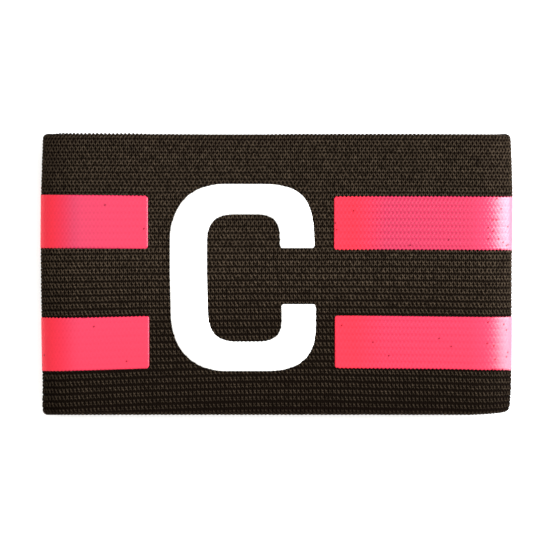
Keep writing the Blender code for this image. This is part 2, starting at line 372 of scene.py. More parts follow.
# %% Sizes of the print
LETTER_RAISE = -0.8 * MM
LETTER_WIDTH = 39.4 * MM
LETTER_HEIGHT = 50.3 * MM
LETTER_STEM = 10.0 * MM
LETTER_ARM = 8.1 * MM
LETTER_TERMINAL = 9.5 * MM
LETTER_MOUTH = 14.9 * MM
# The round corners of its stem and shoulders, outside and inside: how far each reaches along
# x and along y, and its power, which is 2 for an ellipse and more for a squarer curve.
STEM_OUTSIDE, STEM_INSIDE = (15.0 * MM, 15.5 * MM, 2.25), (8.4 * MM, 9.0 * MM, 3.0)
SHOULDER_OUTSIDE, SHOULDER_INSIDE = (14.8 * MM, 13.4 * MM, 2.7), (7.2 * MM, 6.8 * MM, 3.0)
TIP_RADIUS = 0.85 * MM
BAR_HEIGHT = 14.4 * MM
BAR_SPACE = 17.6 * MM
BAR_DROP = 1.4 * MM
BAR_CLEARANCE = 5.5 * MM
BAR_WRAP_ANGLE = -54.0
PRINT_STEP = 0.28 * MM
print("letter in mm:", round(LETTER_WIDTH / MM, 1), "by", round(LETTER_HEIGHT / MM, 1))

# %% How the print was pushed
# How far the letter was pushed while it was printed, in mm: (y, move along y). Its left side
# also moved along x, as did its upper right side and, towards its foot, everything left of the
# lower tip.
LETTER_PUSH_Y = np.array([
    (-26.0, 0.04), (-17.8, -0.06), (-8.2, 0.25), (6.7, 0.25), (15.3, -0.34), (17.4, -0.32),
    (20.8, -0.06), (24.4, -0.28),
])
LETTER_PUSH_LEFT = 0.34 * MM
LETTER_PUSH_RIGHT = -0.64 * MM
LETTER_LEAN = 0.42 * MM
LETTER_FOOT = 18 * MM

# The same for the bars: the move along y of the outer and the inner end, and the move of the
# inner end along x. Their edges follow the wandering ribs by a share of BAR_FOLLOW.
BAR_FOLLOW = 0.8
BAR_PUSH = {
    "bar_left_upper": (0.36 * MM, -0.01 * MM, 0.08 * MM),
    "bar_left_lower": (-0.33 * MM, -0.30 * MM, 0.40 * MM),
    "bar_right_upper": (-0.18 * MM, -0.24 * MM, -0.68 * MM),
    "bar_right_lower": (-0.15 * MM, -0.19 * MM, -0.48 * MM),
}
print("the letter moved up or down by up to", np.abs(LETTER_PUSH_Y[:, 1]).max(), "mm")


# %% The edges of the letter
def stroke_edge(left, right, top, mouth, stem_corner, shoulder_corner, counts):
    """One edge of the letter from its upper tip to its lower tip, with counts points a stretch."""
    turn = np.radians(np.linspace(0.0, 90.0, counts[1]))

    def corner(x, reach_x, reach_y, power):
        over = reach_x * np.clip(np.cos(turn), 0.0, 1.0)**(2 / power)
        up = reach_y * np.sin(turn)**(2 / power)
        inward = np.sign(x - (left + right) / 2)
        return np.stack([x + inward * (over - reach_x), top + up - reach_y], axis=1)

    shoulder = corner(right, *shoulder_corner)
    stem = corner(left, *stem_corner)[::-1]
    share = np.linspace(0.0, 1.0, counts[0] + 1)[:-1, None]
    rise = np.array([[right, mouth]]) * (1 - share) + shoulder[:1] * share
    share = np.linspace(0.0, 1.0, counts[2] + 2)[1:-1, None]
    arm = shoulder[-1:] * (1 - share) + stem[:1] * share
    share = np.linspace(0.0, 1.0, counts[3] + 1)[1:, None]
    back = stem[-1:] * (1 - share) + np.array([[left, 0.0]]) * share
    upper = np.concatenate([rise, shoulder, arm, stem, back])
    lower = upper[-2::-1] * (1, -1)
    return np.concatenate([upper, lower]) + (LETTER_SHIFT, LETTER_RAISE)


def pushed(points):
    """The letter as it was printed: the elastic gave way a little under the squeegee."""
    x, y = points[:, 0] - LETTER_SHIFT, points[:, 1]
    to_right = np.clip(x / (LETTER_WIDTH / 2), 0.0, 1.0) * np.clip(y / LETTER_MOUTH, 0.0, 1.0)
    to_left = np.clip(-x / (LETTER_WIDTH / 4), 0.0, 1.0)
    from_tip = np.clip((LETTER_WIDTH / 2 - x) / LETTER_TERMINAL, 0.0, 1.0)
    to_foot = from_tip * np.clip(-y / LETTER_FOOT, 0.0, 1.0)
    move_x = LETTER_PUSH_RIGHT * to_right + LETTER_PUSH_LEFT * to_left + LETTER_LEAN * to_foot
    move_y = table_at(LETTER_PUSH_Y, y / MM) * MM
    return points + np.stack([move_x, move_y], axis=1)


def letter_edges():
    """The outside and the inside of the letter, with the same number of points: one for each
    PRINT_STEP of the outside's straight stretches and of its corners, 1.5 times their reach."""
    half_width, half_height = LETTER_WIDTH / 2, LETTER_HEIGHT / 2
    outer_rise = half_height - SHOULDER_OUTSIDE[1] - LETTER_MOUTH / 2
    outer_arm = LETTER_WIDTH - STEM_OUTSIDE[0] - SHOULDER_OUTSIDE[0]
    lengths = (outer_rise, 1.5 * STEM_OUTSIDE[0], outer_arm, half_height - STEM_OUTSIDE[1])
    counts = [round(length / PRINT_STEP) for length in lengths]
    near = stroke_edge(-half_width, half_width, half_height, LETTER_MOUTH / 2,
                       STEM_OUTSIDE, SHOULDER_OUTSIDE, counts)
    far = stroke_edge(-half_width + LETTER_STEM, half_width - LETTER_TERMINAL,
                      half_height - LETTER_ARM, LETTER_MOUTH / 2,
                      STEM_INSIDE, SHOULDER_INSIDE, counts)
    return pushed(near), pushed(far)


prints = {"letter_c": letter_edges()}
print("points along the letter's edge:", len(prints["letter_c"][0]))


# %% The edges of the bars
def bar_edges(name, outer, inner, bottom):
    """The lower and upper edge of a bar, which follow the ribs, from left to right."""
    outer_move, inner_move, shift = BAR_PUSH[name]
    inner += shift
    start, end = min(outer, inner), max(outer, inner)
    s = np.linspace(start, end, round((end - start) / PRINT_STEP))
    move = outer_move + (inner_move - outer_move) * (s - outer) / (inner - outer)
    edges = []
    for level in (bottom, bottom + BAR_HEIGHT):
        follow = wander(s, level)
        edges.append(np.stack([s, level + move + BAR_FOLLOW * (follow - follow.mean())], axis=1))
    return edges


bar_reach = LETTER_WIDTH / 2 + BAR_CLEARANCE
bar_end = fold_distance(BAR_WRAP_ANGLE)
bars_middle = LETTER_RAISE - BAR_DROP
bar_levels = {"upper": bars_middle + BAR_SPACE / 2,
              "lower": bars_middle - BAR_SPACE / 2 - BAR_HEIGHT}
for level, bottom in bar_levels.items():
    for side, sign in (("left", -1), ("right", 1)):
        name = f"bar_{side}_{level}"
        prints[name] = bar_edges(name, sign * bar_end, LETTER_SHIFT + sign * bar_reach, bottom)
print("points along the edges:", {name: len(near) for name, (near, far) in prints.items()})

# %% [markdown]
# ## What the ink hides
# Stitches deep under the ink never show, so they are left out. A place is inside an outline if
# a line from it towards one side crosses the outline an odd number of times. The margin keeps
# the stitches near the edge, because those show where the film ends.

# %% Which places are under the print
BURIED_MARGIN = 1.0 * MM


def inside(s, y, outline):
    """Which flat places lie inside a closed outline, by counting the edges that a ray crosses."""
    x0, y0 = outline[:, 0], outline[:, 1]
    x1, y1 = np.roll(x0, -1), np.roll(y0, -1)
    found = np.zeros(len(s), bool)
    for a, b, c, d in zip(x0, y0, x1, y1):
        if b != d:
            crosses = (y < b) != (y < d)
            found ^= crosses & (s < a + (y - b) / (d - b) * (c - a))
    return found


def shrunk(near, far):
    """The outline of a print, drawn in by BURIED_MARGIN on every side."""
    across = far - near
    width = np.hypot(across[:, 0], across[:, 1])[:, None]
    step = np.hypot(*(near[1] - near[0]))
    skip = math.ceil(BURIED_MARGIN / step)
    low = (near + across / width * BURIED_MARGIN)[skip:-skip]
    high = (far - across / width * BURIED_MARGIN)[skip:-skip]
    return np.concatenate([low, high[::-1]])


def buried(s, y):
    """Which stitches are deep under ink, where nothing of them shows."""
    found = np.zeros(len(s), bool)
    for near, far in prints.values():
        found |= inside(s, y, shrunk(near, far))
    return found


spots = np.array([LETTER_SHIFT - 0.4 * LETTER_WIDTH, 0.0])
print("hidden in the letter's stem and at the middle:", buried(spots, np.zeros(2)).tolist())

# %% [markdown]
# ## The knit
# Rib elastic is a net. From each groove between two ribs the yarn leans up over the rib on both
# sides and crosses there, and every two crossings leave a small dark hole. Displacing a grid
# fine enough to show that would take millions of faces. A small grain of yarn for each leg
# between a groove and a crown shows it with sixteen triangles.

# %% Lay out the net
RIB_PITCH_TARGET = 1.8 * MM
RIBS = round(WIDTH / RIB_PITCH_TARGET)
RIB_PITCH = WIDTH / RIBS
STITCH_PITCH = 1.06 * MM
# Each line is a little out of step with the one below, and all drift along the strip in waves.
LINE_DRIFT = 0.035
WAVE_DRIFT, WAVE_LENGTH, WAVE_TURN = 0.16, 19 * MM, 0.11
# How far from the middle of a fold the net is stretched, and from where down the net changes
# and over how far, as shares of the width.
FOLD_PULL_REACH = 8 * MM
EVEN_ABOVE, CHANGE_SPAN = 0.30, 0.65
rng = np.random.default_rng(7)
line_phase = np.cumsum(rng.normal(0.0, LINE_DRIFT, 2 * RIBS + 1))


def stitch_shift(line, s):
    """How far stitches are out of step, in stitches, on line 0 at the lower edge, 1 on the
    first crown, 2 in the first groove and so on."""
    steady = np.interp(line, np.arange(2 * RIBS + 1), line_phase)
    return steady + WAVE_DRIFT * np.sin(s / WAVE_LENGTH + WAVE_TURN * line)


def stretched(s):
    """1 where the elastic is pulled smooth round the middle of a fold, 0 away from the folds."""
    return np.exp(-((np.abs(s) - (FOLD_FROM + FOLD_TO) / 2) / FOLD_PULL_REACH)**2)


def lower_share(y):
    """0 over the upper part of the band, where the net is even, and 1 near the lower edge,
    where the legs that lean one way lie on top and the grooves are deeper."""
    share = np.clip((EVEN_ABOVE * WIDTH - y) / (CHANGE_SPAN * WIDTH), 0.0, 1.0)
    return share * share * (3 - 2 * share)


print(RIBS, "ribs of", round(RIB_PITCH / MM, 2), "mm, stitches of", round(STITCH_PITCH / MM, 2), "mm")

# %% How the net changes across the band
# (share of the width from the lower edge, painted shade at a leg's groove end, how far along
# the leg its first ring lies, groove depth in mm, painted lightness, darkest at the lower edge).
NET_LOOK = np.array([
    (0.00, 0.90, 0.38, 0.42, 0.27),
    (0.03, 0.90, 0.36, 0.42, 0.39),
    (0.08, 0.80, 0.32, 0.42, 0.52),
    (0.30, 0.70, 0.30, 0.40, 0.59),
    (0.50, 0.54, 0.27, 0.32, 0.77),
    (0.70, 0.45, 0.22, 0.20, 0.62),
    (1.00, 0.30, 0.20, 0.12, 0.57),
])


def net_look(u):
    """The last four columns of NET_LOOK at places across the band."""
    return [table_at(NET_LOOK, u / WIDTH + 0.5, column) for column in (1, 2, 3, 4)]


print("look at the middle of the band:", [round(float(value), 2) for value in net_look(0.0)])

# %% [markdown]
# ## A grain of yarn
# A leg of a stitch is a short length of bulky yarn, thick in the middle and tucked away at both
# ends. A curve with a bevel would make one, but there are tens of thousands. So it is a spindle
# of a few rings of four corners with a tip at each end, which smooth shading rounds off.

# %% Grains of yarn
SIDE_ANGLES = np.radians([0.0, 90.0, 180.0, 270.0])


def grain_faces(count, rings):
    """Corner numbers of count grains, each of some rings of corners and a tip at each end."""
    sides = len(SIDE_ANGLES)
    here = np.arange(sides)
    there = (here + 1) % sides
    quads = [np.stack([there, here, here + sides, there + sides], axis=1) + ring * sides
             for ring in range(rings - 1)]
    last_ring = (rings - 1) * sides
    near = np.stack([here, there, np.full(sides, sides * rings)], axis=1)
    far = np.stack([there + last_ring, here + last_ring, np.full(sides, sides * rings + 1)], axis=1)
    step = (np.arange(count) * (rings * sides + 2))[:, None, None]
    return [(np.concatenate(quads)[None] + step).reshape(-1, 4),
            (np.concatenate([near, far])[None] + step).reshape(-1, 3)]


def make_grains(name, path, side, out, tones_and_shade, material):
    """One piece of many grains of yarn. path has a row for each grain: a tip, the middles of
    its rings and the other tip, as (s, y, lift). side and out are the half width and the half
    depth as vectors. The crest mark paints the shading of a round thread: highest on top of a
    grain, lower on its sides, halfway at its tips. The given lightness of each grain goes into
    a second mark, halved at the tips as painted shade where a grain tucks in."""
    count, rings = len(path), path.shape[1] - 2
    wide = np.cos(SIDE_ANGLES)[:, None]
    deep = np.sin(SIDE_ANGLES)[:, None]
    corners = path[:, 1:-1, None] + side[:, :, None] * wide + out[:, :, None] * deep
    corners = np.concatenate([corners.reshape(count, -1, 3), path[:, :1], path[:, -1:]], axis=1)
    points = on_band(corners[:, :, 0], corners[:, :, 1], corners[:, :, 2])
    # Painted shading: lighter on top of a grain and darker on its sides.
    crest = np.tile(0.4 + 0.6 * np.clip(np.sin(SIDE_ANGLES), -0.6, 1.0), rings)
    tones_and_shade = np.broadcast_to(tones_and_shade, (count, rings))
    # Painted shade: the tips are half as light, where they tuck into the net.
    tip_tones = 0.5 * tones_and_shade[:, [0, -1]]
    tones_and_shade = np.concatenate([np.repeat(tones_and_shade, len(SIDE_ANGLES), axis=1), tip_tones], axis=1)
    marks = {"crest": np.tile([*crest, 0.5, 0.5], count), "tone_and_shade": tones_and_shade}
    return make_piece(name, points, grain_faces(count, rings), material, marks)


print("faces of one leg:", [len(block) for block in grain_faces(1, 2)])


# %% Where the legs lie
LEG_HALF_WIDTH = 0.21 * MM
LEG_HALF_DEPTH = 0.20 * MM
LEG_SPREAD = 0.03 * MM
CROWN_DIP = 0.04 * MM
# Where the tips and the second ring lie along a leg, from 0 in the groove to 1 on the crown.
LEG_TIPS, SECOND_RING = (-0.08, 1.08), 0.82
# How deep legs lie and how much that varies, and how much deeper the crossed ones lie.
LEG_SINK, SINK_SPREAD, CROSSED_SINK = 0.03 * MM, 0.015 * MM, 0.17 * MM
# Where the elastic is stretched, its grooves lose this share of their depth.
GROOVE_PULL = 0.85
# The topmost rib leans the other way.
TOP_RIB_LEAN = -0.8
# How much legs vary in width and in tone, and how much painted shade darkens the crossed ones, which
# lie under the others.
WIDTH_VARIES, TONE_VARIES, CROSSED_SHADE = 0.12, 0.25, 0.20


def legs_between(start, end):
    """Every leg between two distances along the strip that isn't buried under ink: its stitch
    as s, its rib as u and as a number, and its side of the rib and its way along it, -1 or 1."""
    stitches = np.arange(math.ceil(start / STITCH_PITCH), math.ceil(end / STITCH_PITCH))
    grid = np.meshgrid(stitches, np.arange(RIBS), [-1.0, 1.0], [-1.0, 1.0], indexing="ij")
    stitch, rib, side, turn = [values.ravel() for values in grid]
    s = stitch * STITCH_PITCH
    u = (rib + 0.5) * RIB_PITCH - WIDTH / 2
    middle_s, middle_u = s + turn * STITCH_PITCH / 4, u + side * RIB_PITCH / 4
    seen = ~buried(middle_s, knit_to_flat(middle_s, middle_u))
    return [values[seen] for values in (s, u, rib, side, turn)]


def leg_paths(s, u, rib, side, turn, crossed):
    """Each leg from its groove to its crown: a tip, the middles of two rings and a tip."""
    count = len(s)
    sink = CROSSED_SINK * crossed + rng.normal(LEG_SINK, SINK_SPREAD, count)
    crown_line = 2 * rib + 1
    groove_line = crown_line + side
    groove_s = s + STITCH_PITCH * stitch_shift(groove_line, s)
    crown_s = s + turn * STITCH_PITCH / 2 + STITCH_PITCH * stitch_shift(crown_line, s)
    _, first_ring, dip, _ = net_look(u)
    groove_dip = dip * MM * (1 - GROOVE_PULL * stretched(s))
    shares = np.full((count, 4), (LEG_TIPS[0], 0.0, SECOND_RING, LEG_TIPS[1]))
    shares[:, 1] = first_ring
    near, far = np.maximum(0.0, 1 - shares), np.maximum(0.0, shares)
    path = np.empty((count, 4, 3))
    path[:, :, 0] = groove_s[:, None] * (1 - shares) + crown_s[:, None] * shares
    path[:, :, 1] = (u + side * RIB_PITCH / 2)[:, None] - side[:, None] * shares * RIB_PITCH / 2
    path[:, :, 2] = -(sink + LEG_HALF_DEPTH)[:, None]
    path[:, :, 2] -= groove_dip[:, None] * near**2 + CROWN_DIP * far**2
    path[:, :, :2] += rng.normal(0.0, LEG_SPREAD, (count, 1, 2))
    path[:, :, 1] = knit_to_flat(path[:, :, 0], path[:, :, 1])
    return path


some_legs = legs_between(0.0, 10 * STITCH_PITCH)
print("legs of 10 stitches, without those under ink:", len(some_legs[0]))


# %% Knit the outer face
def make_legs(name, start, end):
    """The legs of every rib between two distances along the strip. Those that the others cross
    are darker with painted shade, the groove ends and the lower edge of the band get painted
    shade too, and legs vary a little in width and in lightness at random."""
    s, u, rib, side, turn = legs_between(start, end)
    count = len(s)
    lean = np.where(rib == RIBS - 1, TOP_RIB_LEAN, lower_share(u))
    crossed = np.where(side == turn, -lean, lean).clip(0.0, 1.0)
    path = leg_paths(s, u, rib, side, turn, crossed)
    along = path[:, -1] - path[:, 0]
    along /= np.hypot(along[:, 0], along[:, 1])[:, None]
    half_width = LEG_HALF_WIDTH * np.clip(rng.normal(1.0, WIDTH_VARIES, count), 0.7, 1.35)
    across = np.stack([along[:, 1], -along[:, 0], np.zeros(count)], axis=1) * half_width[:, None]
    out = np.broadcast_to([0.0, 0.0, LEG_HALF_DEPTH], (count, 1, 3))
    # Painted shade at the groove ends and painted lightness across the band, from NET_LOOK.
    groove_shade, _, _, light = net_look(u)
    tones_and_shade = np.clip(rng.normal(1.0, TONE_VARIES, count), 0.4, 1.6)
    tones_and_shade = tones_and_shade * (1 - CROSSED_SHADE * crossed) * light
    tones_and_shade = np.stack([tones_and_shade * (1 - groove_shade), tones_and_shade], axis=1)
    return make_grains(name, path, across[:, None], out, tones_and_shade, yarn)


seam_s = STRIP_END - LAP_LENGTH
knit_pieces = [
    make_legs("net_face_left", -FOLD_FROM, 0.0),
    make_legs("net_face_right", 0.0, FOLD_FROM),
    make_legs("net_fold_left", -FOLD_TO, -FOLD_FROM),
    make_legs("net_fold_right", FOLD_FROM, FOLD_TO),
    make_legs("net_under_left", STRIP_START, -FOLD_TO),
    make_legs("net_under_right", FOLD_TO, seam_s),
]


# %% [markdown]
# ## The selvedges
# At both edges the outermost yarn turns round the strip once a stitch and lies close, like the
# binding on a blanket, which keeps the edge from fraying. The same grains serve here with seven
# places along each, rolled round the edge. They bulge a little more where the edge is slack.

# %% Bind the selvedges
# How far they bulge beyond the strip: all along the lower one, and at places along the upper
# one, as (distance along the strip in mm, bulge in mm).
LOWER_BULGE = 0.12 * MM
UPPER_BULGE = np.array([
    (-60.5, 0.0), (-58.0, 0.18), (-38.0, 0.13), (-33.0, 0.0), (-15.0, -0.18), (-4.0, -0.18),
    (3.0, 0.0), (40.0, 0.0), (47.0, -0.06), (60.0, -0.12), (64.0, 0.0),
])
# One turn of yarn: (degrees round the edge, lift in mm). It slants by EDGE_SLANT both ways
# along the edge, and is wider on the lower edge than on the upper one.
EDGE_TURN = np.array([
    (25.0, -0.30), (40.0, -0.16), (75.0, -0.10), (110.0, -0.10), (145.0, -0.10), (180.0, -0.16),
    (200.0, -0.40),
])
EDGE_SLANT = 0.35 * MM
EDGE_YARN_HALF_DEPTH = 0.16 * MM
EDGE_YARN_HALF_WIDTH = {1: 0.27 * MM, -1: 0.48 * MM}


def make_selvedge(name, edge):
    """Yarn that turns round one edge of the strip once a stitch, edge being -1 or 1."""
    stitches = np.arange(math.ceil(STRIP_START / STITCH_PITCH), math.floor(STRIP_END / STITCH_PITCH))
    count = len(stitches)
    shift = stitch_shift(np.where(edge > 0, 2 * RIBS, 0), stitches * STITCH_PITCH)
    s = (stitches + 0.5 + shift) * STITCH_PITCH
    turns, lift = np.radians(EDGE_TURN[:, 0]), EDGE_TURN[:, 1] * MM
    slant = np.linspace(-EDGE_SLANT, EDGE_SLANT, len(turns))
    bulge = table_at(UPPER_BULGE, s / MM) * MM if edge > 0 else np.full(count, LOWER_BULGE)
    path = np.empty((count, len(turns), 3))
    path[:, :, 0] = s[:, None] + slant
    path[:, :, 1] = edge * (FLAT_EDGE + EDGE_RADIUS * turns)
    path[:, :, 2] = lift + bulge[:, None]
    half_width = EDGE_YARN_HALF_WIDTH[edge] * np.clip(rng.normal(1.0, 0.1, count), 0.7, 1.3)
    side = np.zeros((count, 1, 3))
    side[:, 0, 0] = half_width
    out = np.broadcast_to([0.0, 0.0, EDGE_YARN_HALF_DEPTH], (count, 1, 3))
    # Painted shade: the selvedge yarn is much darker than the legs, where the rolled edge turns away
    # from the light.
    tones_and_shade = np.clip(rng.normal(0.25, 0.08, (count, 1)), 0.1, 0.5)
    return make_grains(name, path, side * edge, out, tones_and_shade, yarn)


knit_pieces.append(make_selvedge("selvedge_upper", 1))
knit_pieces.append(make_selvedge("selvedge_lower", -1))

# %% [markdown]
# ## The body of the elastic
# Under the stitches lies the body of the strip, with the rubber cores in its ribs. It is a tube
# of rows that run along the strip, closed at both cut ends. Its outer face stays just below the
# stitches, where it closes the holes between them, and its inner face is the ribbed back of the
# knit. A Solidify modifier would give both faces the same shape, and here they differ.

# %% Rows and stations of the body
CORE_DEPTH = 0.42 * MM
BACK_GROOVE = 0.16 * MM
# The back of a rib is flat up to BACK_FLANK of a rib from the middle of each groove.
BACK_FLANK = 0.28
BODY_STEP, FOLD_STEP, SEAM_STEP = 3.0 * MM, 0.5 * MM, 0.8 * MM


def body_rows():
    """(y, lift, painted lightness) for each row round the strip, outer face first. The outer
    face is painted as dark as the hollows, where it shows through the holes, and the back is
    painted darker at the edges and in its grooves.
    """
    outer = [(y, -CORE_DEPTH, 0.0) for y in np.linspace(-FLAT_EDGE, FLAT_EDGE, 2 * RIBS)]
    turns = np.radians([30.0, 60.0, 90.0, 120.0, 150.0])
    edge = [(FLAT_EDGE + EDGE_RADIUS * turn, -CORE_DEPTH * (1 - turn / np.pi), 0.2) for turn in turns]
    inner = [(-FLAT_EDGE, -WALL, 0.5)]
    for groove in range(1, RIBS):
        y = groove * RIB_PITCH - WIDTH / 2
        inner += [(y - BACK_FLANK * RIB_PITCH, -WALL, 0.8), (y, -WALL + BACK_GROOVE, 0.3),
                  (y + BACK_FLANK * RIB_PITCH, -WALL, 0.8)]
    inner += [(FLAT_EDGE, -WALL, 0.5)]
    far_edge = [(-y, lift, light) for y, lift, light in reversed(edge)]
    return np.array(outer + edge + inner[::-1] + far_edge)


def body_stations():
    """Distances along the strip, close together in the folds and where the seam climbs."""
    return np.concatenate([
        np.arange(STRIP_START, -FOLD_TO, BODY_STEP),
        np.arange(-FOLD_TO, -FOLD_FROM, FOLD_STEP),
        np.arange(-FOLD_FROM, FOLD_FROM, BODY_STEP),
        np.arange(FOLD_FROM, FOLD_TO, FOLD_STEP),
        np.arange(FOLD_TO, seam_s - 2 * LAP_RISE, BODY_STEP),
        np.arange(seam_s - 2 * LAP_RISE, STRIP_END, SEAM_STEP),
        [STRIP_END],
    ])


print("body:", len(body_rows()), "rows,", len(body_stations()), "stations")


# %% Make the body
def make_body():
    """The closed tube of all rows at all stations, with a flat cap at each cut end."""
    rows, stations = body_rows(), body_stations()
    s, y = np.meshgrid(stations, rows[:, 0], indexing="ij")
    points = on_band(s, y, rows[:, 1])
    count = len(stations)
    number = np.arange(s.size).reshape(s.shape)
    after = np.roll(number, -1, axis=1)
    sides = np.stack([number[:-1], number[1:], after[1:], after[:-1]], axis=-1).reshape(-1, 4)
    caps = np.stack([number[0], number[-1, ::-1]])
    marks = {"crest": np.tile(rows[:, 2], count), "tone_and_shade": np.full(s.size, 0.5)}
    return make_piece("elastic_body", points, [sides, caps], yarn, marks)


body = make_body()
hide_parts("elastic_band")

# %% [markdown]
# ## The seam
# The two ends of the strip lap over each other underneath and are sewn through with a zigzag
# along each cut end, which can stretch with the elastic where a straight row would break. The
# thread is black spun polyester, smoother and tighter than the yarn around it.

# %% Sew the lap
THREAD_HALF_WIDTH = 0.17 * MM
ZIGZAG_WIDTH = 2.6 * MM
ZIGZAG_STEP = 1.25 * MM
# Where the rings lie along one stitch of thread, whose ends go down through the elastic.
STITCH_RINGS = [0.0, 0.12, 0.5, 0.88, 1.0]
STITCH_END_DEPTH = 0.6 * MM
THREAD_TONE = 0.35


def make_zigzag(name, first_s, lift, up):
    """One row of zigzag across the strip from first_s, on the face that looks along up."""
    ends = np.arange(-FLAT_EDGE + ZIGZAG_STEP, FLAT_EDGE - ZIGZAG_STEP, ZIGZAG_STEP)
    count = len(ends) - 1
    near = np.where(np.arange(count) % 2 == 0, first_s, first_s + ZIGZAG_WIDTH)
    far = 2 * first_s + ZIGZAG_WIDTH - near
    path = np.empty((count, len(STITCH_RINGS), 3))
    for ring, share in enumerate(STITCH_RINGS):
        path[:, ring, 0] = near * (1 - share) + far * share
        path[:, ring, 1] = ends[:-1] * (1 - share) + ends[1:] * share
        path[:, ring, 2] = lift - up * (STITCH_END_DEPTH if share in (0.0, 1.0) else 0.0)
    along = path[:, -1] - path[:, 0]
    along /= np.hypot(along[:, 0], along[:, 1])[:, None]
    side = np.stack([along[:, 1], -along[:, 0], np.zeros(count)], axis=1) * THREAD_HALF_WIDTH
    out = np.broadcast_to([0.0, 0.0, up * THREAD_HALF_WIDTH], (count, 1, 3))
    return make_grains(name, path, up * side[:, None], out, np.full((count, 1), THREAD_TONE), thread)


thread = textured_polyester_yarn("black_spun_polyester_thread", 0.5)
inset = 0.8 * MM
other = LAP_LENGTH - ZIGZAG_WIDTH - inset
outside, inside_face = -THREAD_HALF_WIDTH, -WALL - 0.05 * MM
seam_rows = [
    make_zigzag("seam_thread_under_end", STRIP_START + inset, outside, 1),
    make_zigzag("seam_thread_under_lap", STRIP_START + other, outside, 1),
    make_zigzag("seam_thread_inside_end", STRIP_END - inset - ZIGZAG_WIDTH, inside_face, -1),
    make_zigzag("seam_thread_inside_lap", STRIP_END - other - ZIGZAG_WIDTH, inside_face, -1),
]

# %% [markdown]
# ## The ink
# The print is plastisol, a paste of vinyl resin that is pressed through a screen and heated. It
# bridges the holes of the knit and softens it, so the film keeps a low relief of the stitches,
# and its edge is thick, round and slightly ragged where it ends on a leg or over a hole.

# %% Sizes and marks of the ink
# The film's top lies INK_TOP above the strip's face. It rounds off over INK_EDGE down to
# INK_ROOT below the face, and its back is a little deeper, at INK_BACK.
INK_TOP = 0.10 * MM
INK_ROOT = 0.34 * MM
INK_BACK = 0.36 * MM
INK_EDGE = 0.30 * MM
# How deep the knit is pressed through the film, where the pink ink has a painted sheen, the
# milky pink of a reflection, and where the right fold has a pale painted glare: (distance
# along the strip in mm, share). The press and the painted sheen also change across the band:
# (place as a share of its width from the middle, share).
PRESS = np.array([(-30.0, 0.5), (14.0, 0.6), (26.0, 1.4), (48.0, 1.2), (56.0, 0.6), (61.0, 0.3)])
PAINTED_SHEEN = np.array([(-60.0, 0.0), (-54.0, 1.0), (21.0, 0.0), (29.0, 1.0)])
PAINTED_GLARE = np.array([(59.0, 0.0), (62.5, 0.15), (66.0, 0.15), (70.0, 0.0)])
PRESS_ACROSS = np.array([(-0.20, 0.65), (0.10, 1.0)])
PAINTED_SHEEN_ACROSS = np.array([(-0.32, 0.52), (0.00, 1.0)])
# Pinholes anywhere in a film, and more of them where it bends round the right fold.
PINHOLES = 5
FOLD_PINHOLES = 14
FOLD_PINHOLE_SPAN = (56.0 * MM, 62.5 * MM)
PINHOLE_RADIUS = 0.22 * MM
# How deep the film dents over a hole and in a groove, in mm, and how much flatter it is where
# the elastic is stretched.
HOLE_DENT, GROOVE_DENT = 0.17, 0.10
FILM_PULL = 0.8


def dents(s, y):
    """How far the net lies below its crests, in mm: most over a hole, some in a groove, which
    closes up where the net is stretched."""
    line = (y - wander(s, y) + WIDTH / 2) / RIB_PITCH * 2
    phase = s / STITCH_PITCH - stitch_shift(line, s)
    hole = 0.5 - 0.5 * np.cos(2 * np.pi * phase) * np.cos(np.pi * line)
    groove = 0.5 + 0.5 * np.cos(np.pi * line)
    return HOLE_DENT * hole**2 + GROOVE_DENT * groove**3 * (1 - FILM_PULL * stretched(s))


sample = dents(np.linspace(0.0, STITCH_PITCH, 40)[:, None], np.linspace(0.0, RIB_PITCH, 40))
print("dents of one stitch in mm: 0 to", round(float(sample.max()), 2))


# %% Grids and rims
def grid_faces(rows, columns, first=0):
    """Quads of a grid of points, row by row."""
    number = np.arange(rows * columns).reshape(rows, columns) + first
    return np.stack([number[:-1, :-1], number[1:, :-1], number[1:, 1:], number[:-1, 1:]],
                    axis=-1).reshape(-1, 4)


def rim_faces(rows, columns):
    """Quads that join the borders of two grids, the second numbered after the first."""
    number = np.arange(rows * columns).reshape(rows, columns)
    border = np.concatenate([number[:-1, 0], number[-1, :-1], number[:0:-1, -1], number[0, :0:-1]])
    after = np.roll(border, -1)
    back = rows * columns
    return np.stack([after, border, border + back, after + back], axis=1)


print("faces round a grid of 3 by 4 points:", len(rim_faces(3, 4)))

# %% The lines of a film's grid
EDGE_OFFSETS = np.array([0.0, 0.03, 0.09, 0.18, 0.30]) * MM
LINES_PER_STITCH, LINES_PER_RIB = 4, 6
LEAST_GAP = 0.4


def film_lines(length, step, origin):
    """Places from 0 to length, crowded at both ends where the film rounds off. Between them
    they lie whole steps from the origin, so that they fall on the stitches, and keep away from
    the crowded ones by LEAST_GAP of a step."""
    low = EDGE_OFFSETS[-1] + LEAST_GAP * step
    high = length - EDGE_OFFSETS[-1] - LEAST_GAP * step
    first, last = math.ceil((low - origin) / step), math.floor((high - origin) / step)
    inner = origin + step * np.arange(first, last + 1)
    return np.concatenate([EDGE_OFFSETS, inner, length - EDGE_OFFSETS[::-1]])


print("lines across a bar:", len(film_lines(BAR_HEIGHT, RIB_PITCH / LINES_PER_RIB, 0.0)))


# %% Lay out a film
# Over STEP_FADE from its border a film's lines fall into step with the stitches. Its long edges
# spread by EDGE_SPREAD, in mm, and are ragged over RAGGED_REACH.
STEP_FADE = 1.5 * MM
EDGE_SPREAD = 0.05
RAGGED_REACH = 0.35 * MM


